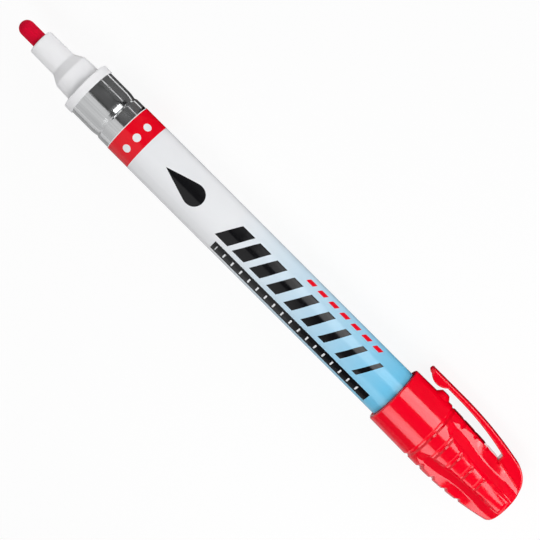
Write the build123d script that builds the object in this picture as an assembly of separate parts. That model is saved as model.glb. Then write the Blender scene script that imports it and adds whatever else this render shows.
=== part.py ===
from build123d import *
import os
from math import asin, atan2, cos, degrees, pi, radians, sin, sqrt, tan

# Valve paint marker, lying on its side with its cap posted on the rear of the barrel.
# X runs along the axis with the nib forward, Z is up, and all sizes are in millimetres.
# The origin is on the axis, at the middle of the label.

# Barrel: drawn aluminium tube, closed at the rear, rolled onto the mouthpiece near its rim
barrel_diameter = 14.1
barrel_wall = 0.4
barrel_end_wall = 0.8
barrel_corner_radius = 1.4
crimp_setback = 9.0
crimp_depth = 0.3
crimp_front_run = 1.6
crimp_rear_run = 0.6
crimp_blend = 0.4
crimp_front_blend = 6.0

# Label: printed film between the two bare ends of the barrel
label_length = 97.4
label_thickness = 0.16
label_setback = 12.9
label_gap = 0.1

# Mouthpiece: moulded nozzle, cone, shoulder, flange and plug
nozzle_tip_diameter = 7.28
nozzle_root_diameter = 7.46
nozzle_length = 8.4
nozzle_edge_radius = 0.35
cone_length = 2.7
cone_blend = 1.0
shoulder_front_diameter = 10.45
shoulder_root_diameter = 10.85
shoulder_length = 5.0
shoulder_blend = 0.3
flange_thickness = 2.5
flange_overhang = 0.32
flange_edge_radius = 0.3
plug_length = 14.0
plug_clearance = 0.03
plug_chamfer = 0.6
vent_radius = 0.45
vent_count = 4

# Nib: fibre rod with a bullet point
nib_diameter = 4.4
nib_length = 22.0
nib_exposed = 7.0
nib_clearance = 0.05
nib_rear_edge = 0.3

# Valve: stem behind the nib, seal ring, spring and the cage that holds them in the plug
valve_travel = 2.5
chamber_diameter = 6.0
chamber_lead = 0.9
cup_depth = 2.0
cup_wall = 0.5
cup_floor = 1.0
stem_diameter = 2.0
stem_web = 0.8
cup_room = 2.3
seal_thickness = 1.2
seal_hole_diameter = 3.4
seat_gap = 0.05
head_diameter = 5.2
head_thickness = 1.4
head_edge = 0.35
tail_overhang = 0.8
cage_diameter = 9.1
cage_fit = 0.05
cage_wall = 1.15
cage_length = 16.5
cage_floor = 1.2
cage_hole_clearance = 0.1
cage_flange_gap = 1.0
cage_flange_thickness = 1.0
window_length = 3.2
window_width = 2.6
window_count = 4
window_margin = 0.7
spring_wire = 0.45
spring_mean_diameter = 3.8
spring_turns = 8
spring_end_gap = 0.05

# Mouthpiece seal: rubber ring in a groove of the plug
ring_setback = 2.2
ring_wire = 1.1
ring_groove_width = 1.3
ring_fit = 0.02

# Mixing ball: loose in the paint chamber
ball_diameter = 5.0
ball_clearance = 0.05
ball_end_gap = 0.3

# Cap: moulded skirt, fluted ladder grip, clip and stepped socket
post_depth = 15.0
post_clearance = 0.3
bore_clearance = 0.08
skirt_wall = 1.4
skirt_flare = 0.15
lip_edge_radius = 0.45
lip_chamfer = 0.5
cap_end_wall = 2.1
crest_start = 18.5
crest_drop = 2.95
dome_rise = 0.35
dome_edge_radius = 2.2
grip_rib_count = 6
grip_rib_width = 0.9
grip_rib_clearance = 0.04
grip_rib_front = 3.0
grip_rib_length = 9.0

# Ladder grooves and flutes of the grip
groove_first = 13.6
groove_pitch = 4.4
groove_count = 5
groove_width = 1.3
groove_floor_width = 0.4
groove_depth = 0.42
groove_blend = 0.15
flute_angle = 51.5
flute_floor_width = 2.8
flute_floor_blend = 0.9
flute_start = 15.0
flute_run_in = 2.2
flute_run_in_depth = 0.75
flute_run_in_tilt = 20.0
flute_early = 23.5
flute_early_depth = 1.75
flute_early_tilt = 23.0
flute_middle = 29.2
flute_middle_depth = 2.85
flute_middle_tilt = 37.0
flute_late = 34.5
flute_late_depth = 2.95
flute_late_tilt = 24.0
flute_end_depth = 4.15
flute_end_tilt = 21.0

# Clip, moulded with the cap, with a ball at its tip and a bump facing it on the skirt
clip_width = 5.0
clip_gap = 2.4
clip_thickness = 1.3
clip_tip = 2.0
clip_nose = 0.9
clip_tip_corner = 1.5
clip_outer_bend = 14.0
clip_outer_end = 33.5
clip_outer_drop = 1.8
clip_inner_bend = 12.4
clip_inner_drop = 2.2
clip_slot_end = 31.1
clip_slot_blend = 0.25
clip_root_depth = 7.5
clip_end_radius = 7.0
clip_edge_radius = 0.45
clip_ball_station = 5.8
clip_ball_length = 5.8
clip_ball_drop = 1.25
bump_station = 9.5
bump_height = 1.1
bump_top_diameter = 2.5
bump_base_diameter = 5.6
bump_edge_radius = 0.35
under_clip_front_depth = 0.35
under_clip_rear_depth = 1.2

# Cap liner: soft stepped cup that seals on the nozzle when the marker is capped
throat_clearance = 0.25
liner_clearance = 0.12
liner_wall = 0.95
liner_pocket_wall = 0.6
liner_pocket_clearance = 0.15
liner_end_clearance = 0.4
liner_floor = 0.5
liner_fit = 0.03
liner_lead = 0.5
liner_setback = 0.2

# Cuts run this far past the faces that they open
overrun = 1.0

# Radii that several pieces share
barrel_radius = barrel_diameter / 2
bore_radius = barrel_radius - barrel_wall
label_radius = barrel_radius + label_thickness
nib_radius = nib_diameter / 2
nozzle_radius = nozzle_root_diameter / 2
shoulder_radius = shoulder_root_diameter / 2
guide_radius = nib_radius + nib_clearance
plug_radius = bore_radius - plug_clearance
stem_radius = stem_diameter / 2
cage_radius = cage_diameter / 2
cage_bore_radius = cage_radius + cage_fit
flange_radius = barrel_radius + flange_overhang
cap_bore_radius = flange_radius + bore_clearance
skirt_radius = cap_bore_radius + skirt_wall

# Stations along the axis, from the label outwards
rim_x = label_length / 2 + label_setback
crimp_x = rim_x - crimp_setback
flange_x = rim_x + flange_thickness
shoulder_x = flange_x + shoulder_length
nozzle_root_x = shoulder_x + cone_length
nozzle_tip_x = nozzle_root_x + nozzle_length
nib_tip_x = nozzle_tip_x + nib_exposed
nib_rear_x = nib_tip_x - nib_length
seal_x = nib_rear_x - cup_floor - stem_web - valve_travel - cup_room
cage_x = seal_x - seal_thickness
cage_rear_x = cage_x - cage_length
plug_rear_x = rim_x - plug_length
head_x = cage_x - seat_gap
head_rear_x = head_x - head_thickness
cap_lip_x = -label_length / 2 - label_gap
barrel_rear_x = cap_lip_x - post_depth

# Depths in the cap, from its lip to its closed end
mouth_depth = post_depth + post_clearance
throat_depth = mouth_depth + shoulder_length + throat_clearance
nozzle_depth = mouth_depth + shoulder_length + cone_length + nozzle_length
sleeve_depth = nozzle_depth + liner_end_clearance
pocket_depth = nozzle_depth + nib_exposed + liner_end_clearance + liner_floor
cap_length = pocket_depth + liner_fit + cap_end_wall

# The cap lies with the lower corner of its clip on the table, so that the marker can't roll
clip_under = skirt_radius + clip_gap
clip_over = clip_under + clip_thickness
clip_corner_radius = sqrt(clip_over**2 + (clip_width / 2) ** 2)
clip_corner_angle = degrees(atan2(clip_width / 2, clip_over))
clip_droop = degrees(asin(skirt_radius / clip_corner_radius)) - clip_corner_angle
quarter_turn = 90
cap_place = Pos(X=cap_lip_x) * Rot(X=quarter_turn + clip_droop)


def turned(outline):
    """Solid of revolution about the axis, from (station, radius, corner radius) points."""
    points = [(x, 0, r) for x, r, _ in outline]
    path = FilletPolyline(*points, radius=[corner for _, _, corner in outline], close=True)
    return revolve(make_face(path), axis=Axis.X)


def crimp_points(radius):
    """Corners of the rolled groove in a wall of the given radius, from front to rear."""
    return [
        (crimp_x + crimp_front_run, radius, crimp_front_blend),
        (crimp_x, radius - crimp_depth, crimp_blend),
        (crimp_x - crimp_rear_run, radius, crimp_blend),
    ]


def make_barrel():
    inner_end_x = barrel_rear_x + barrel_end_wall
    inner_corner = barrel_corner_radius - barrel_wall
    outline = [(rim_x, barrel_radius, 0)]
    outline += crimp_points(barrel_radius)
    outline += [
        (barrel_rear_x, barrel_radius, barrel_corner_radius),
        (barrel_rear_x, 0, 0),
        (inner_end_x, 0, 0),
        (inner_end_x, bore_radius, inner_corner),
    ]
    outline += reversed(crimp_points(bore_radius))
    outline += [(rim_x, bore_radius, 0)]
    return turned(outline)


def make_label_wrap():
    front_x = label_length / 2
    return turned([
        (front_x, barrel_radius, 0),
        (front_x, label_radius, 0),
        (-front_x, label_radius, 0),
        (-front_x, barrel_radius, 0),
    ])


def make_mouthpiece():
    ring_x = rim_x - ring_setback
    ring_floor_radius = bore_radius - ring_wire - ring_fit
    chamber_radius = chamber_diameter / 2
    chamber_front_x = nib_rear_x + cup_depth + chamber_lead
    outline = [
        (nozzle_tip_x, guide_radius, 0),
        (nozzle_tip_x, nozzle_tip_diameter / 2, nozzle_edge_radius),
        (nozzle_root_x, nozzle_radius, cone_blend),
        (shoulder_x, shoulder_front_diameter / 2, cone_blend),
        (flange_x, shoulder_radius, shoulder_blend),
        (flange_x, flange_radius, flange_edge_radius),
        (rim_x, flange_radius, 0),
        (rim_x, plug_radius, 0),
        (ring_x + ring_groove_width / 2, plug_radius, 0),
        (ring_x + ring_groove_width / 2, ring_floor_radius, 0),
        (ring_x - ring_groove_width / 2, ring_floor_radius, 0),
        (ring_x - ring_groove_width / 2, plug_radius, 0),
    ]
    outline += crimp_points(plug_radius)
    outline += [
        (plug_rear_x + plug_chamfer, plug_radius, 0),
        (plug_rear_x, plug_radius - plug_chamfer, 0),
        (plug_rear_x, cage_bore_radius, 0),
        (seal_x, cage_bore_radius, 0),
        (seal_x, chamber_radius, 0),
        (chamber_front_x, chamber_radius, 0),
        (chamber_front_x + chamber_lead, guide_radius, 0),
    ]
    body = turned(outline)
    vent_length = nozzle_tip_x - chamber_front_x + overrun
    vent = Cylinder(vent_radius, vent_length, align=(Align.CENTER, Align.CENTER, Align.MIN))
    vent = Pos(X=chamber_front_x, Z=guide_radius) * Rot(Y=quarter_turn) * vent
    for index in range(vent_count):
        body -= Rot(X=index * 4 * quarter_turn / vent_count) * vent
    return body


def make_nib():
    shaft_x = nib_tip_x - nib_radius
    edges = [
        TangentArc((shaft_x, 0, nib_radius), (nib_tip_x, 0, 0), tangent=(1, 0, 0)),
        Polyline(
            (nib_tip_x, 0, 0),
            (nib_rear_x, 0, 0),
            (nib_rear_x, 0, nib_radius - nib_rear_edge),
            (nib_rear_x + nib_rear_edge, 0, nib_radius),
            (shaft_x, 0, nib_radius),
        ),
    ]
    return revolve(make_face(edges), axis=Axis.X)


def make_valve_stem():
    cup_radius = guide_radius + cup_wall
    cup_rear_x = nib_rear_x - cup_floor
    head_radius = head_diameter / 2
    tail_x = cage_rear_x - tail_overhang
    return turned([
        (nib_rear_x, 0, 0),
        (nib_rear_x, guide_radius, 0),
        (nib_rear_x + cup_depth, guide_radius, 0),
        (nib_rear_x + cup_depth, cup_radius, 0),
        (cup_rear_x, cup_radius, 0),
        (cup_rear_x - stem_web, stem_radius, 0),
        (head_x, stem_radius, 0),
        (head_x, head_radius - head_edge, 0),
        (head_x - head_edge, head_radius, 0),
        (head_rear_x, head_radius, 0),
        (head_rear_x, stem_radius, 0),
        (tail_x + head_edge, stem_radius, 0),
        (tail_x, stem_radius - head_edge, 0),
        (tail_x, 0, 0),
    ])


def make_valve_seal():
    hole_radius = seal_hole_diameter / 2
    return turned([
        (seal_x, hole_radius, 0),
        (seal_x, cage_radius, 0),
        (cage_x, cage_radius, 0),
        (cage_x, hole_radius, 0),
    ])


def make_valve_body():
    inner_radius = cage_radius - cage_wall
    hole_radius = stem_radius + cage_hole_clearance
    floor_x = cage_rear_x + cage_floor
    cage_flange_radius = bore_radius - cage_flange_gap
    flange_rear_x = plug_rear_x - cage_flange_thickness
    body = turned([
        (cage_x, inner_radius, 0),
        (cage_x, cage_radius, 0),
        (plug_rear_x, cage_radius, 0),
        (plug_rear_x, cage_flange_radius, 0),
        (flange_rear_x, cage_flange_radius, 0),
        (flange_rear_x, cage_radius, 0),
        (cage_rear_x, cage_radius, 0),
        (cage_rear_x, hole_radius, 0),
        (floor_x, hole_radius, 0),
        (floor_x, inner_radius, 0),
    ])
    window = Box(
        window_length, window_width, cage_radius + overrun,
        align=(Align.MAX, Align.CENTER, Align.MIN),
    )
    window = Pos(X=flange_rear_x - window_margin, Z=inner_radius - overrun) * window
    for index in range(window_count):
        body -= Rot(X=index * 4 * quarter_turn / window_count) * window
    return body


def biarc(start, start_direction, end, end_direction):
    """Two tangent arcs from one point and direction to another."""
    chord = end - start
    total = start_direction + end_direction
    bend = 2 * (1 - start_direction.dot(end_direction))
    along = chord.dot(total)
    reach = (sqrt(along**2 + bend * chord.dot(chord)) - along) / bend
    middle = (start + end + (start_direction - end_direction) * reach) * 0.5
    middle_direction = (middle - start - start_direction * reach).normalized()
    return [
        TangentArc(start, middle, tangent=start_direction),
        TangentArc(middle, end, tangent=middle_direction),
    ]


def make_valve_spring():
    mean_radius = spring_mean_diameter / 2
    front_x = head_rear_x - spring_end_gap - spring_wire / 2
    rear_x = cage_rear_x + cage_floor + spring_end_gap + spring_wire / 2
    steps_per_turn = 4
    rise = (rear_x - front_x) / (spring_turns * 2 * pi)
    joints = []
    for step in range(spring_turns * steps_per_turn + 1):
        turn = step * 2 * pi / steps_per_turn
        place = Vector(front_x + rise * turn, mean_radius * cos(turn), mean_radius * sin(turn))
        direction = Vector(rise, -mean_radius * sin(turn), mean_radius * cos(turn)).normalized()
        joints.append((place, direction))
    edges = []
    for (start, start_direction), (end, end_direction) in zip(joints, joints[1:]):
        edges += biarc(start, start_direction, end, end_direction)
    first_place, first_direction = joints[0]
    section = Plane(first_place, z_dir=first_direction) * Circle(spring_wire / 2)
    return sweep(section, path=Wire(edges))


def make_mouthpiece_seal():
    ring = Torus(bore_radius - ring_fit - ring_wire / 2, ring_wire / 2)
    return Pos(X=rim_x - ring_setback) * Rot(Y=quarter_turn) * ring


def make_mixing_ball():
    ball_radius = ball_diameter / 2
    ball_x = cage_rear_x - ball_end_gap - ball_radius
    ball_z = -(bore_radius - ball_radius - ball_clearance)
    return Pos(X=ball_x, Z=ball_z) * Sphere(ball_radius)


def crest_radius(depth):
    """Outer radius of the cap's crests at a depth from the lip."""
    run = cap_length - crest_start
    bend = (run**2 + crest_drop**2) / (2 * crest_drop)
    past = max(depth - crest_start, 0)
    return skirt_radius - bend + sqrt(bend**2 - past**2)


def make_cap_shell():
    """Outer body of the cap: flared skirt, bowed crests and a slightly domed end."""
    edge_depth = cap_length - dome_rise
    edge = (-edge_depth, 0, crest_radius(edge_depth))
    start = (-crest_start, 0, skirt_radius)
    outline = make_face([
        Polyline(
            (-cap_length, 0, 0),
            (0, 0, 0),
            (0, 0, skirt_radius - skirt_flare),
            (-groove_first, 0, skirt_radius),
            start,
        ),
        TangentArc(start, edge, tangent=(-1, 0, 0)),
        TangentArc((-cap_length, 0, 0), edge, tangent=(0, 0, 1)),
    ])
    lip = outline.vertices().group_by(Axis.X)[-1].sort_by(Axis.Z)[-1]
    outline = fillet(lip, lip_edge_radius)
    end = outline.vertices().sort_by_distance(edge)[0]
    outline = fillet(end, dome_edge_radius)
    return revolve(outline, axis=Axis.X)


def make_grooves():
    """Ring grooves that turn each crest into a ladder."""
    grooves = []
    for index in range(groove_count):
        depth = groove_first + index * groove_pitch
        top = crest_radius(depth) + groove_depth
        floor = crest_radius(depth) - groove_depth
        grooves.append(turned([
            (-depth + groove_width, top, 0),
            (-depth + groove_floor_width / 2, floor, groove_blend),
            (-depth - groove_floor_width / 2, floor, groove_blend),
            (-depth - groove_width, top, 0),
        ]))
    return grooves


def flute_section(depth, floor, tilt):
    """Section of a flute at a depth from the lip: a flat floor between two slanted walls."""
    half_floor = flute_floor_width / 2
    top = max(crest_radius(depth), floor) + overrun
    half_top = half_floor + (top - floor) / tan(radians(tilt))
    outline = FilletPolyline(
        (-depth, -half_top, top),
        (-depth, -half_floor, floor),
        (-depth, half_floor, floor),
        (-depth, half_top, top),
        radius=[0, flute_floor_blend, flute_floor_blend, 0],
        close=True,
    )
    return make_face(outline)


def make_flutes():
    """Scooped flutes between the crests, with walls that are steepest at the middle of the grip."""
    run_in_end = flute_start + flute_run_in
    run_out = cap_length + overrun
    first = flute_section(flute_start, skirt_radius, flute_run_in_tilt)
    sections = [
        flute_section(run_in_end, skirt_radius - flute_run_in_depth, flute_run_in_tilt),
        flute_section(flute_early, skirt_radius - flute_early_depth, flute_early_tilt),
        flute_section(flute_middle, skirt_radius - flute_middle_depth, flute_middle_tilt),
        flute_section(flute_late, skirt_radius - flute_late_depth, flute_late_tilt),
        flute_section(run_out, skirt_radius - flute_end_depth, flute_end_tilt),
    ]
    flute = loft([first, sections[0]], ruled=True) + loft(sections)
    half_turn = 2 * quarter_turn
    angles = (flute_angle, -flute_angle, half_turn + flute_angle, half_turn - flute_angle)
    return [Rot(X=angle) * flute for angle in angles]


def make_under_clip_cut():
    """Sloped flat under the clip, where the crest is cut back."""
    front = skirt_radius - under_clip_front_depth
    rear = skirt_radius - under_clip_rear_depth
    top = skirt_radius + overrun
    section = make_face(Polyline(
        (-groove_first, 0, front),
        (-clip_slot_end, 0, rear),
        (-clip_slot_end, 0, top),
        (-groove_first, 0, top),
        close=True,
    ))
    return extrude(section, amount=clip_width, both=True)


def make_clip():
    """Clip with its ball, its bowed arm and the solid root that joins the cap's end."""
    end_depth = cap_length - dome_rise
    nose_middle = (clip_under + clip_over) / 2
    bend = (-clip_outer_bend, 0, clip_over)
    bow_end = (-clip_outer_end, 0, clip_over - clip_outer_drop)
    bow = TangentArc(bend, bow_end, tangent=(-1, 0, 0))
    slope = bow % 1
    corner_height = bow_end[2] + slope.Z / slope.X * (clip_outer_end - end_depth)
    corner = (-end_depth, 0, corner_height)
    slot_end = (-clip_slot_end, 0, clip_under - clip_inner_drop)
    inner_bend = (-clip_inner_bend, 0, clip_under)
    nose_top = (-clip_tip - clip_nose, 0, clip_over)
    nose_foot = (-clip_tip - clip_nose, 0, clip_under)
    ball_rear = (-clip_ball_station - clip_ball_length / 2, 0, clip_under)
    ball_low = (-clip_ball_station, 0, clip_under - clip_ball_drop)
    root_radius = skirt_radius - clip_root_depth
    side = make_face([
        Line(nose_top, bend),
        bow,
        Polyline(
            bow_end,
            corner,
            (-end_depth, 0, root_radius),
            (-clip_slot_end, 0, root_radius),
            slot_end,
        ),
        TangentArc(inner_bend, slot_end, tangent=(-1, 0, 0)),
        Line(inner_bend, ball_rear),
        ThreePointArc(ball_rear, ball_low, nose_foot),
        ThreePointArc(nose_foot, (-clip_tip, 0, nose_middle), nose_top),
    ])
    side = fillet(side.vertices().sort_by_distance(corner)[0], clip_end_radius)
    side = fillet(side.vertices().sort_by_distance(slot_end)[0], clip_slot_blend)
    arm = extrude(side, amount=clip_width / 2, both=True)
    plan_length = cap_length
    plan = Pos(X=-clip_tip - plan_length / 2) * Rectangle(plan_length, clip_width)
    plan = fillet(plan.vertices().group_by(Axis.X)[-1], clip_tip_corner)
    arm &= extrude(plan, amount=clip_over + overrun)
    edges = arm.faces().filter_by(Axis.Y).edges()
    return fillet(edges, clip_edge_radius)


def make_bump():
    """Coned bump on the skirt that faces the clip's ball."""
    height = bump_height + skirt_wall / 2
    cone = Cone(
        bump_base_diameter / 2, bump_top_diameter / 2, height,
        align=(Align.CENTER, Align.CENTER, Align.MAX),
    )
    cone = fillet(cone.edges().group_by(Axis.Z)[-1], bump_edge_radius)
    return Pos(X=-bump_station, Z=skirt_radius + bump_height) * cone


def liner_outer_radius():
    return nozzle_radius + liner_clearance + liner_wall


def liner_pocket_radius():
    return nib_radius + liner_pocket_clearance + liner_pocket_wall


def make_cap():
    cap = make_cap_shell()
    for cutter in make_grooves() + make_flutes():
        cap -= cutter
    cap -= make_under_clip_cut()
    cap += make_clip()
    cap += make_bump()
    seat_radius = liner_outer_radius() + liner_fit
    pocket_radius = liner_pocket_radius() + liner_fit
    throat_radius = shoulder_radius + throat_clearance
    cap -= turned([
        (overrun, 0, 0),
        (overrun, cap_bore_radius + lip_chamfer, 0),
        (0, cap_bore_radius + lip_chamfer, 0),
        (-lip_chamfer, cap_bore_radius, 0),
        (-mouth_depth, cap_bore_radius, 0),
        (-mouth_depth, throat_radius, 0),
        (-throat_depth, throat_radius, 0),
        (-throat_depth, seat_radius, 0),
        (-sleeve_depth - liner_fit, seat_radius, 0),
        (-sleeve_depth - liner_fit, pocket_radius, 0),
        (-pocket_depth - liner_fit, pocket_radius, 0),
        (-pocket_depth - liner_fit, 0, 0),
    ])
    rib_radius = barrel_radius + grip_rib_clearance
    rib_height = cap_bore_radius + skirt_wall / 2 - rib_radius
    rib = Box(
        grip_rib_length, grip_rib_width, rib_height,
        align=(Align.MAX, Align.CENTER, Align.MIN),
    )
    rib = Pos(X=-grip_rib_front, Z=rib_radius) * rib
    for index in range(grip_rib_count):
        cap += Rot(X=index * 4 * quarter_turn / grip_rib_count) * rib
    return cap_place * cap


def make_cap_liner():
    outer = liner_outer_radius()
    inner = nozzle_radius + liner_clearance
    pocket_outer = liner_pocket_radius()
    pocket_inner = nib_radius + liner_pocket_clearance
    front = throat_depth + liner_setback
    liner = turned([
        (-front, inner + liner_lead, 0),
        (-front, outer, 0),
        (-sleeve_depth, outer, 0),
        (-sleeve_depth, pocket_outer, 0),
        (-pocket_depth, pocket_outer, 0),
        (-pocket_depth, 0, 0),
        (-pocket_depth + liner_floor, 0, 0),
        (-pocket_depth + liner_floor, pocket_inner, 0),
        (-nozzle_depth, pocket_inner, 0),
        (-nozzle_depth, inner, 0),
        (-front - liner_lead, inner, 0),
    ])
    return cap_place * liner


makers = {
    "barrel": make_barrel,
    "label_wrap": make_label_wrap,
    "mouthpiece": make_mouthpiece,
    "mouthpiece_seal": make_mouthpiece_seal,
    "nib": make_nib,
    "valve_stem": make_valve_stem,
    "valve_seal": make_valve_seal,
    "valve_spring": make_valve_spring,
    "valve_body": make_valve_body,
    "mixing_ball": make_mixing_ball,
    "cap": make_cap,
    "cap_liner": make_cap_liner,
}
os.makedirs("parts", exist_ok=True)
for name, make in makers.items():
    export_step(make(), f"parts/{name}.step")
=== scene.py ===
from math import cos, radians, sin, sqrt

import bpy
from mathutils import Matrix, Vector


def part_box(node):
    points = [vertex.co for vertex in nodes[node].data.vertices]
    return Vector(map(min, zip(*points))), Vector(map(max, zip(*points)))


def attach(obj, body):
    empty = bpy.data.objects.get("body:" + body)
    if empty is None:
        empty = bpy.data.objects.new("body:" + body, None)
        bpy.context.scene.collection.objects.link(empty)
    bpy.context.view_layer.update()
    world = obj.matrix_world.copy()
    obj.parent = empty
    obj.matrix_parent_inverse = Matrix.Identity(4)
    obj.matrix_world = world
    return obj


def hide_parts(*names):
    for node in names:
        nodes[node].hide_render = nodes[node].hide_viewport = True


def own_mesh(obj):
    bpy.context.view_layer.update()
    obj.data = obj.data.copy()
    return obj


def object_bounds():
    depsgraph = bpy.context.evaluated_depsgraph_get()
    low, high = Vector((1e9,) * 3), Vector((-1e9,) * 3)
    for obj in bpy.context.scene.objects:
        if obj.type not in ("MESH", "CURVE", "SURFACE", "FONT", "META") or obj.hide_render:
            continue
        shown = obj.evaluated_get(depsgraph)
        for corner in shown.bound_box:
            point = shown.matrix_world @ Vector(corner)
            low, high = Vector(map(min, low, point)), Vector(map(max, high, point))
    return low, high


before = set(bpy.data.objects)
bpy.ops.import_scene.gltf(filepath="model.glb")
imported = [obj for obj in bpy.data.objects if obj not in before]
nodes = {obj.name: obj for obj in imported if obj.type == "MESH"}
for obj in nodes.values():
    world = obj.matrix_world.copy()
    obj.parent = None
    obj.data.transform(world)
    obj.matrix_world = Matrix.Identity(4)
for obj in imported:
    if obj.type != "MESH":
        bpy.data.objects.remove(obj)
cad_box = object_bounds()
bpy.context.scene.view_settings.view_transform = "Standard"


# Barrel
# Drawn aluminium tube with a closed rear end, rolled into the mouthpiece's plug near its rim.
# Drawing leaves fine lines along the tube, which is bright but never quite a mirror, and a duller rear end.

def join(tree, socket, value):
    """Sets a socket to a plain value, or joins it to another node's output."""
    if isinstance(value, bpy.types.NodeSocket):
        tree.links.new(value, socket)
    else:
        socket.default_value = value


def new_finish(name, metallic=0.0):
    """A finish with its node tree and its surface shader."""
    finish = bpy.data.materials.new(name)
    finish.use_nodes = True
    tree = finish.node_tree
    shader = tree.nodes["Principled BSDF"]
    shader.inputs["Metallic"].default_value = metallic
    return finish, tree, shader


def set_surface(tree, shader, colour, roughness):
    """Gives a surface its colour and its roughness."""
    join(tree, shader.inputs["Base Color"], colour)
    join(tree, shader.inputs["Roughness"], roughness)


def own_place(tree):
    """Places in the piece's own coordinates, which are those of the whole marker."""
    return tree.nodes.new("ShaderNodeTexCoord").outputs["Object"]


def split(tree, vector):
    """The X, Y and Z of a vector."""
    parts = tree.nodes.new("ShaderNodeSeparateXYZ")
    tree.links.new(vector, parts.inputs["Vector"])
    return parts.outputs


def grain(tree, cells, detail=3.0):
    """Noise on the piece's own coordinates, with this many cells per metre along X, Y and Z."""
    stretch = tree.nodes.new("ShaderNodeMapping")
    stretch.inputs["Scale"].default_value = cells
    noise = tree.nodes.new("ShaderNodeTexNoise")
    noise.inputs["Scale"].default_value = 1.0
    noise.inputs["Detail"].default_value = detail
    tree.links.new(own_place(tree), stretch.inputs["Vector"])
    tree.links.new(stretch.outputs["Vector"], noise.inputs["Vector"])
    return noise.outputs["Fac"]


def spread(tree, value, low, high, start=0.3, end=0.7):
    """Carries a value that runs from start to end over to a range of its own."""
    carry = tree.nodes.new("ShaderNodeMapRange")
    join(tree, carry.inputs["Value"], value)
    for socket, number in zip(("From Min", "From Max", "To Min", "To Max"), (start, end, low, high)):
        carry.inputs[socket].default_value = number
    return carry.outputs["Result"]


def tint(tree, share, first, second):
    """Mixes two colours by a share."""
    mix = tree.nodes.new("ShaderNodeMix")
    mix.data_type = "RGBA"
    join(tree, mix.inputs["Factor"], share)
    join(tree, mix.inputs["A"], first)
    join(tree, mix.inputs["B"], second)
    return mix.outputs["Result"]


def reckon(tree, operation, *values):
    """One sum on values or sockets."""
    node = tree.nodes.new("ShaderNodeMath")
    node.operation = operation
    for socket, value in zip(node.inputs, values):
        join(tree, socket, value)
    return node.outputs["Value"]


def relief(tree, shader, height, depth):
    """Fine relief of the surface, with its depth in metres."""
    bump = tree.nodes.new("ShaderNodeBump")
    bump.inputs["Distance"].default_value = depth
    tree.links.new(height, bump.inputs["Height"])
    tree.links.new(bump.outputs["Normal"], shader.inputs["Normal"])


def dress(piece, finish):
    """Gives a piece its one finish."""
    piece.data.materials.clear()
    piece.data.materials.append(finish)


aluminium, tree, shader = new_finish("bright_drawn_aluminium", metallic=1.0)
dark_streak, bright_streak = (0.74, 0.75, 0.76, 1), (0.93, 0.94, 0.95, 1)
rear_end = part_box("barrel")[0].x
end_corner, end_roughness = 0.0012, 0.5

streaks = spread(tree, grain(tree, cells=(30, 1300, 1300), detail=5.0), low=0, high=1)
handling = spread(tree, grain(tree, cells=(260, 260, 260), detail=5.0), low=0.09, high=0.2)
along_tube = split(tree, own_place(tree))["X"]
dull_end = spread(tree, along_tube, low=end_roughness, high=0, start=rear_end, end=rear_end + end_corner)
tube_colour = tint(tree, streaks, dark_streak, bright_streak)
set_surface(tree, shader, tube_colour, reckon(tree, "MAXIMUM", handling, dull_end))
draw_lines = grain(tree, cells=(60, 5000, 5000))
pits = grain(tree, cells=(1200, 2600, 2600), detail=4.0)
relief(tree, shader, reckon(tree, "ADD", draw_lines, pits), depth=0.000005)
dress(nodes["barrel"], aluminium)


# Mouthpiece
# White polypropylene moulding: nozzle, cone, shoulder and flange in one piece, with its plug in the barrel.
# It has the soft satin skin of a spark-eroded mould.

white, tree, shader = new_finish("white_satin_plastic")
cool_white, clean_white = (0.84, 0.84, 0.86, 1), (0.88, 0.88, 0.89, 1)
cloud = grain(tree, cells=(150, 150, 150))
white_colour = tint(tree, cloud, cool_white, clean_white)
skin = grain(tree, cells=(5200, 5200, 5200))
set_surface(tree, shader, white_colour, spread(tree, skin, low=0.36, high=0.5))
relief(tree, shader, skin, depth=0.00001)
dress(nodes["mouthpiece"], white)


# Valve parts
# Seal rings are punched or moulded black rubber, the stem, cage and cap liner natural polypropylene.
# The mixing ball that rattles in the paint is a polished bearing ball.

rubber, tree, shader = new_finish("black_seal_rubber")
clean_rubber, bloomed_rubber = (0.014, 0.014, 0.015, 1), (0.03, 0.03, 0.03, 1)
bloom = grain(tree, cells=(2400, 2400, 2400))
rubber_colour = tint(tree, bloom, clean_rubber, bloomed_rubber)
set_surface(tree, shader, rubber_colour, spread(tree, bloom, low=0.5, high=0.75))
for name in ("mouthpiece_seal", "valve_seal"):
    dress(nodes[name], rubber)

natural, tree, shader = new_finish("natural_plastic")
cloudy_resin, milky_resin = (0.66, 0.65, 0.59, 1), (0.78, 0.77, 0.72, 1)
flow = grain(tree, cells=(120, 700, 700))
natural_colour = tint(tree, flow, cloudy_resin, milky_resin)
set_surface(tree, shader, natural_colour, spread(tree, flow, low=0.32, high=0.48))
for name in ("valve_stem", "valve_body", "cap_liner"):
    dress(nodes[name], natural)

ball_steel, tree, shader = new_finish("polished_ball_steel", metallic=1.0)
ball_grey = (0.62, 0.62, 0.63, 1)
polish = grain(tree, cells=(1800, 1800, 1800))
set_surface(tree, shader, ball_grey, spread(tree, polish, low=0.03, high=0.12))
dress(nodes["mixing_ball"], ball_steel)


# Valve spring
# Coil of hard drawn wire between the valve head and the floor of the cage, which pushes the nib out again.
# It is wound here as one wire, with even turns over the length of the spring in the part.

wire, tree, shader = new_finish("hard_drawn_wire", metallic=1.0)
wire_grey = (0.5, 0.5, 0.51, 1)
die_marks = grain(tree, cells=(3000, 3000, 3000))
set_surface(tree, shader, wire_grey, spread(tree, die_marks, low=0.2, high=0.42))

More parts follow.
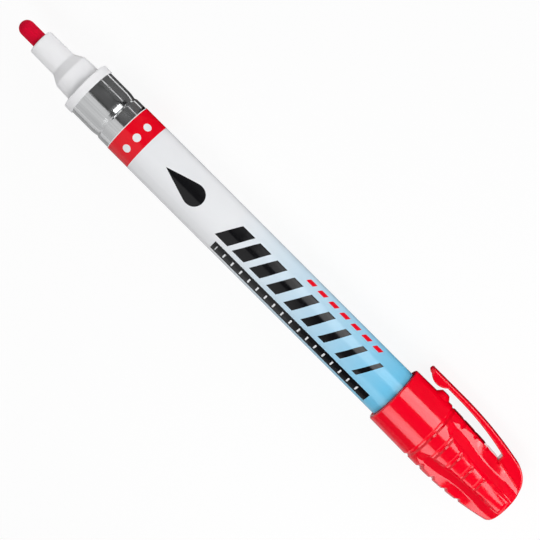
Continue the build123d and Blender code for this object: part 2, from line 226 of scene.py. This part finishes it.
wire_diameter, wire_sides = 0.00045, 12
spring_turns, steps_per_turn = 8, 28
spring_rear, spring_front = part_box("valve_spring")
spring_length = spring_front.x - spring_rear.x
coil_radius = (spring_front.z - spring_rear.z - wire_diameter) / 2

bpy.ops.object.select_all(action="DESELECT")
bpy.ops.mesh.primitive_circle_add(vertices=wire_sides, radius=wire_diameter / 2, fill_type="NOTHING",
                                  location=(coil_radius, 0, 0), rotation=(radians(90), 0, 0))
spring = bpy.context.object
spring.name = "valve_spring_coil"
bpy.ops.object.transform_apply()
winding = spring.modifiers.new("winding", "SCREW")
winding.screw_offset = (spring_length - wire_diameter) / spring_turns
winding.iterations = spring_turns
winding.steps = winding.render_steps = steps_per_turn
bpy.ops.object.modifier_apply(modifier=winding.name)
bpy.ops.object.mode_set(mode="EDIT")
bpy.ops.mesh.select_all(action="SELECT")
bpy.ops.mesh.fill_holes(sides=wire_sides)
bpy.ops.mesh.select_all(action="SELECT")
bpy.ops.mesh.normals_make_consistent(inside=False)
bpy.ops.object.mode_set(mode="OBJECT")
spring.rotation_euler = (0, radians(90), 0)
spring.location = (spring_rear.x + wire_diameter / 2, 0, 0)
bpy.ops.object.transform_apply()
dress(spring, wire)
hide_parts("valve_spring")
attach(spring, "barrel")
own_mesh(spring)


# Nib
# Bullet-shaped rod of bonded fibres, ground to its round point and soaked with red paint.
# The fibres run along the rod, so its colour and relief are drawn out that way.

felt, tree, shader = new_finish("paint_soaked_fibre")
dark_fibre, bright_fibre = (0.52, 0.0, 0.016, 1), (0.80, 0.0, 0.036, 1)
fibres = grain(tree, cells=(500, 5200, 5200), detail=4.0)
fibre_colour = tint(tree, spread(tree, fibres, low=0, high=1), dark_fibre, bright_fibre)
set_surface(tree, shader, fibre_colour, spread(tree, fibres, low=0.6, high=0.85))
shader.inputs["Specular IOR Level"].default_value = 0.1
relief(tree, shader, fibres, depth=0.00004)
dress(nodes["nib"], felt)


# Label
# Printed plastic film wrapped round the barrel and lapped at the back, white that runs into sky blue.
# Its print is a plain pattern of a red band with dots, a drop, bars, dashes and a black strip with ticks,
# set out in millimetres along the axis and round the barrel, from the middle of the side that is seen.

def strip(tree, value, low, high):
    """One where a value lies between two limits, and nought elsewhere."""
    return reckon(tree, "COMPARE", value, (low + high) / 2, (high - low) / 2)


def patch(tree, along, ends, around, edges):
    """One inside a rectangle of the label, from its ends along the axis and its edges round the barrel."""
    return reckon(tree, "MULTIPLY", strip(tree, along, *ends), strip(tree, around, *edges))


def stripes(tree, along, pitch, share, ends, around, edges):
    """One on stripes across a rectangle, each with this share of their pitch on either side of its middle."""
    step = reckon(tree, "FRACT", reckon(tree, "DIVIDE", along, pitch))
    stripe = reckon(tree, "COMPARE", step, 0.5, share)
    return reckon(tree, "MULTIPLY", stripe, patch(tree, along, ends, around, edges))


def reach(tree, along, around, station):
    """How far a place is from a station on the label's middle line."""
    place = tree.nodes.new("ShaderNodeCombineXYZ")
    join(tree, place.inputs["X"], along)
    join(tree, place.inputs["Y"], around)
    span = tree.nodes.new("ShaderNodeVectorMath")
    span.operation = "DISTANCE"
    tree.links.new(place.outputs["Vector"], span.inputs[0])
    span.inputs[1].default_value = (station, 0, 0)
    return span.outputs["Value"]


camera_tilt = radians(38.9)
face_on = Vector((0, -sin(camera_tilt), cos(camera_tilt)))
face_across = Vector((0, -cos(camera_tilt), -sin(camera_tilt)))
millimetre = 0.001
label_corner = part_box("label_wrap")[1] / millimetre
label_front, label_radius = label_corner.x, label_corner.z

film, tree, shader = new_finish("printed_satin_film")
place = own_place(tree)
along = reckon(tree, "DIVIDE", split(tree, place)["X"], millimetre)
sides = []
for direction in (face_across, face_on):
    dot = tree.nodes.new("ShaderNodeVectorMath")
    dot.operation = "DOT_PRODUCT"
    tree.links.new(place, dot.inputs[0])
    dot.inputs[1].default_value = direction
    sides.append(dot.outputs["Value"])
around = reckon(tree, "MULTIPLY", reckon(tree, "ARCTAN2", *sides), label_radius)

paper_white, sky_blue = (0.80, 0.81, 0.83, 1), (0.15, 0.51, 0.75, 1)
band_red, ink_black = (0.78, 0.0, 0.012, 1), (0.004, 0.004, 0.005, 1)
last_white, first_blue = 12.0, -46.0
blue_share = spread(tree, along, low=0, high=1, start=last_white, end=first_blue)
colour = tint(tree, blue_share, paper_white, sky_blue)

slope, bar_pitch, bar_ends, bar_edges = 0.55, 6.0, (-42.0, 12.0), (-3.4, 3.4)
thick_share, thin_share, thinnest = 0.39, 0.10, -44.0
slant = reckon(tree, "MULTIPLY_ADD", around, slope, along)
bar_share = spread(tree, along, low=thick_share, high=thin_share, start=bar_ends[1], end=thinnest)
bars = stripes(tree, slant, bar_pitch, bar_share, bar_ends, around, bar_edges)

dash_pitch, dash_share, dash_ends, dash_edges = 4.0, 0.3, (-36.0, -8.0), (5.4, 7.0)
dashes = stripes(tree, slant, dash_pitch, dash_share, dash_ends, around, dash_edges)

strip_ends, strip_edges = (-44.2, 11.7), (-8.3, -4.8)
tick_pitch, tick_share, tick_ends, tick_edges = 3.0, 0.08, (-43.0, 10.5), (-7.4, -5.7)
black_strip = patch(tree, along, strip_ends, around, strip_edges)
ticks = stripes(tree, along, tick_pitch, tick_share, tick_ends, around, tick_edges)

drop_middle, drop_radius, drop_point = 24.0, 3.1, 34.0
touch_share = drop_radius / (drop_point - drop_middle)
touch_station = drop_middle + drop_radius * touch_share
touch_width = drop_radius * sqrt(1 - touch_share**2)
drop = reckon(tree, "LESS_THAN", reach(tree, along, around, drop_middle), drop_radius)
taper = spread(tree, along, low=touch_width, high=0, start=touch_station, end=drop_point)
beak = reckon(tree, "LESS_THAN", reckon(tree, "ABSOLUTE", around), taper)
beak = reckon(tree, "MULTIPLY", beak, strip(tree, along, drop_middle, drop_point))
drop = reckon(tree, "MAXIMUM", drop, beak)

band_start, bare_edge = 41.4, 0.22
dot_station, dot_radius, dot_pitch, dot_row = 44.5, 1.1, 4.0, 12.0
red_band = strip(tree, along, band_start, label_front - bare_edge)
dot_step = reckon(tree, "WRAP", around, dot_pitch / 2, -dot_pitch / 2)
dots = reckon(tree, "LESS_THAN", reach(tree, along, dot_step, dot_station), dot_radius)
dots = reckon(tree, "MULTIPLY", dots, strip(tree, around, -dot_row / 2, dot_row / 2))

for area, ink in ((dashes, band_red), (bars, ink_black), (black_strip, ink_black), (ticks, paper_white),
                  (drop, ink_black), (red_band, band_red), (dots, paper_white)):
    colour = tint(tree, area, colour, ink)

scuffs = grain(tree, cells=(300, 900, 900), detail=5.0)
set_surface(tree, shader, colour, spread(tree, scuffs, low=0.1, high=0.19))
shader.inputs["Specular IOR Level"].default_value = 0.42
seam, overlap, film_thickness, wave_share = 18.5, 3.0, 0.00004, 0.15
lap = reckon(tree, "GREATER_THAN", around, seam)
lap = reckon(tree, "MULTIPLY", lap, spread(tree, around, low=1, high=0, start=seam, end=seam + overlap))
waves = grain(tree, cells=(50, 160, 160), detail=1.0)
relief(tree, shader, reckon(tree, "MULTIPLY_ADD", waves, wave_share, lap), depth=film_thickness)
dress(nodes["label_wrap"], film)


# Cap
# Red polypropylene moulding with its clip, fluted grip and socket in one shot, from a polished mould.
# Its gloss is broken by a faint orange peel, and its colour by sink marks where ribs stand behind the wall.

red, tree, shader = new_finish("red_gloss_plastic")
deep_red, bright_red = (0.80, 0.0, 0.012, 1), (0.88, 0.0, 0.018, 1)
sink_marks = grain(tree, cells=(140, 140, 140))
cap_colour = tint(tree, sink_marks, deep_red, bright_red)
peel = grain(tree, cells=(1600, 1600, 1600))
set_surface(tree, shader, cap_colour, spread(tree, peel, low=0.08, high=0.16))
shader.inputs["IOR"].default_value = 1.58
relief(tree, shader, peel, depth=0.000006)
dress(nodes["cap"], red)


# Table
# The marker lies on a plain white table, on the round of its cap and the lower corner of its clip.
# The table shows white to the camera and in gloss, and keeps part of the marker's shadow.

def seen_white(tree):
    """One for the eye and for gloss and clear pieces, and nought for the light that falls on the marker."""
    rays = tree.nodes.new("ShaderNodeLightPath")
    seen = reckon(tree, "MAXIMUM", rays.outputs["Is Camera Ray"], rays.outputs["Is Glossy Ray"])
    return reckon(tree, "MAXIMUM", seen, rays.outputs["Is Transmission Ray"])


table_size, table_glow_share = 12.0, 0.91
table_white, matt_roughness = (0.93, 0.93, 0.93, 1), 0.9
bpy.ops.object.select_all(action="DESELECT")
bpy.ops.mesh.primitive_plane_add(size=table_size, location=(0, 0, cad_box[0].z))
table = bpy.context.object
table.name = "table"
paper, tree, shader = new_finish("white_table")
set_surface(tree, shader, table_white, matt_roughness)
shader.inputs["Specular IOR Level"].default_value = 0.0
glow = tree.nodes.new("ShaderNodeEmission")
both = tree.nodes.new("ShaderNodeMixShader")
join(tree, both.inputs["Fac"], reckon(tree, "MULTIPLY", seen_white(tree), table_glow_share))
tree.links.new(shader.outputs["BSDF"], both.inputs[1])
tree.links.new(glow.outputs["Emission"], both.inputs[2])
tree.links.new(both.outputs["Shader"], tree.nodes["Material Output"].inputs["Surface"])
dress(table, paper)


# Room
# A dim studio with a band of haze along the horizon, where the table runs out.
# To the eye and in gloss the band is white and reaches higher, so that no low view has a dark room behind it.

horizon_light, room_light = 0.6, 0.03
haze_heights, white_heights = (0.02, 0.12), (0.18, 0.28)
world = bpy.data.worlds.new("studio")
world.use_nodes = True
bpy.context.scene.world = world
tree = world.node_tree
room = tree.nodes["Background"]
room.inputs["Color"].default_value = (1, 1, 1, 1)
height = split(tree, tree.nodes.new("ShaderNodeTexCoord").outputs["Generated"])["Z"]
haze = spread(tree, height, horizon_light, room_light, *haze_heights)
white_band = reckon(tree, "MULTIPLY", spread(tree, height, 1, 0, *white_heights), seen_white(tree))
join(tree, room.inputs["Strength"], reckon(tree, "MAXIMUM", haze, white_band))


# Softboxes
# A low and a high one lay two stripes on the cap, and a slanted one lights a flute and the end of a crest.
# One past the nib puts glints in the crimp and the cap's grooves, and a wide, dim one pales half the metal.
# Two fills, at the nib and behind the cap, brighten the colours there and don't show in gloss.

axis_forward = Vector((1, 0, 0))
# Power of an area lamp for each square metre and each unit of radiance.
lamp_power = 4


def round_axis(turn):
    """Direction square to the marker's axis, at an angle from the camera's side of it."""
    return face_on * cos(radians(turn)) + face_across * sin(radians(turn))


def facing(direction):
    """Turn that sets a thing's own Z along a direction and its own X along the marker."""
    return Matrix((axis_forward, direction.cross(axis_forward), direction)).transposed().to_4x4()


def softbox(name, turn, distance, station, across, along, radiance,
            roll=0, profile=(1, 1, 1), fade=(1, 2)):
    """Softbox that faces the marker's axis at a station along it, rolled about its own middle.

    Its profile is how bright it is at its near edge, middle and far edge, as one goes round the marker.
    Its fade gives the shares of its length, towards the nib, where it starts to dim and where it is out.
    """
    back = round_axis(turn)
    lamp = bpy.data.lights.new(name, "AREA")
    lamp.shape = "RECTANGLE"
    lamp.size = along
    lamp.size_y = across
    lamp.energy = radiance * lamp_power * along * across
    lamp.use_nodes = True
    tree = lamp.node_tree
    spot = split(tree, tree.nodes.new("ShaderNodeNewGeometry").outputs["Parametric"])
    ramp = tree.nodes.new("ShaderNodeValToRGB")
    ramp.color_ramp.interpolation = "B_SPLINE"
    ramp.color_ramp.elements.new(0.5)
    for stop, tone in zip(ramp.color_ramp.elements, profile):
        stop.color = (tone, tone, tone, 1)
    tree.links.new(spot["Y"], ramp.inputs["Fac"])
    dimmed = reckon(tree, "MULTIPLY", ramp.outputs["Color"], spread(tree, spot["X"], 1, 0, *fade))
    join(tree, tree.nodes["Emission"].inputs["Strength"], dimmed)
    box = bpy.data.objects.new(name, lamp)
    turned = facing(back) @ Matrix.Rotation(radians(roll), 4, "Z")
    box.matrix_world = Matrix.Translation(back * distance + axis_forward * station) @ turned
    box.visible_camera = False
    bpy.context.scene.collection.objects.link(box)
    return box


softbox("low_softbox", turn=34, distance=0.8, station=-0.55, across=0.64, along=1.3, radiance=3.1,
        profile=(0.45, 1.25, 0.8), fade=(0.8, 0.97))
softbox("tail_softbox", turn=2, distance=0.8, station=-0.526, across=0.17, along=0.5, radiance=3.0, roll=-51)
softbox("high_softbox", turn=-55, distance=0.45, station=-0.36, across=0.31, along=0.55, radiance=2.7,
        profile=(0.6, 1.15, 0.5))
softbox("end_softbox", turn=0, distance=0.45, station=1.07, across=0.17, along=0.5, radiance=3.0)
nib_fill = softbox("nib_fill_softbox", turn=25, distance=0.6, station=0.55,
                   across=0.4, along=0.4, radiance=0.7)
cap_fill = softbox("cap_fill_softbox", turn=-62, distance=0.12, station=-0.14,
                   across=0.2, along=0.2, radiance=0.4)
for box in (nib_fill, cap_fill):
    box.visible_glossy = False
softbox("pale_softbox", turn=-66, distance=0.2, station=0.21, across=0.66, along=0.48, radiance=0.46,
        profile=(1.2, 0.95, 0.7))


# Cards
# Flags that only gloss can see. Black ones keep the white table out of the cap's clip side, but for a window
# below the clip's slot, a grey and a dim one take down the table and the room on the far side, and dark ones,
# with narrow slits between them, shape the light on the bare metal.

def card(name, tone):
    """Matt card of one tone."""
    finish, tree, shader = new_finish(name)
    set_surface(tree, shader, (tone, tone, tone, 1), matt_roughness)
    shader.inputs["Specular IOR Level"].default_value = 0.0
    return finish


def flag(name, finish, middle, across, along, normal):
    """Card of a size, seen by reflections alone."""
    bpy.ops.object.select_all(action="DESELECT")
    bpy.ops.mesh.primitive_plane_add(size=1)
    piece = bpy.context.object
    piece.name = name
    sized = Matrix.Diagonal((along, across, 1, 1))
    piece.matrix_world = Matrix.Translation(middle) @ facing(normal) @ sized
    for kind in ("camera", "diffuse", "shadow", "transmission", "volume_scatter"):
        setattr(piece, "visible_" + kind, False)
    dress(piece, finish)


card_lift = 0.0003


def table_flag(name, finish, ends, near, far):
    """Flag on the table between two stations, from a near to a far edge on the clip's side."""
    middle = Vector((sum(ends) / 2, -(near + far) / 2, cad_box[0].z + card_lift))
    flag(name, finish, middle, far - near, ends[1] - ends[0], Vector((0, 0, 1)))


black_card = card("black_card", tone=0.015)
dark_card = card("dark_card", tone=0.13)
grey_card = card("grey_card", tone=0.45)
dim_card = card("dim_card", tone=0.27)
cap_ends, metal_ends = (-1.2, 0.05), (0.05, 0.65)
under_marker, card_reach = -0.009, 0.6

slot_window, slot_side = (-0.0825, -0.0755), 0.0065
table_flag("tail_flag", black_card, (cap_ends[0], slot_window[0]), under_marker, card_reach)
table_flag("slot_flag", black_card, slot_window, slot_side, card_reach)
table_flag("cap_flag", black_card, (slot_window[1], cap_ends[1]), under_marker, card_reach)

near_slit, far_slit = (0.0084, 0.0097), (0.0315, 0.037)
metal_edges = (under_marker, *near_slit, *far_slit, card_reach)
for index, edges in enumerate(zip(metal_edges[0::2], metal_edges[1::2])):
    table_flag("metal_flag_%d" % index, dark_card, metal_ends, *edges)

far_ends, wall_height = (cap_ends[0], metal_ends[1]), 0.3
wall_middle = Vector((sum(far_ends) / 2, card_reach, wall_height / 2))
table_flag("far_flag", grey_card, far_ends, -card_reach, under_marker)
flag("far_wall_flag", dim_card, wall_middle, wall_height, far_ends[1] - far_ends[0], Vector((0, -1, 0)))

front_side, front_distance, front_station = round_axis(turn=23), 0.42, 0.31
front_middle = front_side * front_distance + axis_forward * front_station
flag("front_flag", dark_card, front_middle, across=0.479, along=0.64, normal=front_side)


# Camera
# It looks down on the marker from the clip's side, with the marker running from corner to corner.
# It leans a little towards the nib, and stands about half a metre off.

pixels_per_metre = 3858
picture_size = 540
distance = 0.49
nib_lean = radians(1.06)
aim_station, aim_across = -0.00348, 0.00017
aim = axis_forward * aim_station + face_across * aim_across
back = face_on * cos(nib_lean) + axis_forward * sin(nib_lean)
along_marker = (face_on * sin(nib_lean) - axis_forward * cos(nib_lean)).normalized()
right = (along_marker + face_across).normalized()
up = (face_across - along_marker).normalized()
camera = bpy.data.objects.new("camera", bpy.data.cameras.new("camera"))
camera.data.sensor_width = 36
camera.data.lens = camera.data.sensor_width * pixels_per_metre * distance / picture_size
camera.data.clip_start = 0.01
turned = Matrix((right, up, back)).transposed().to_4x4()
camera.matrix_world = Matrix.Translation(aim + back * distance) @ turned
bpy.context.scene.collection.objects.link(camera)
bpy.context.scene.camera = camera
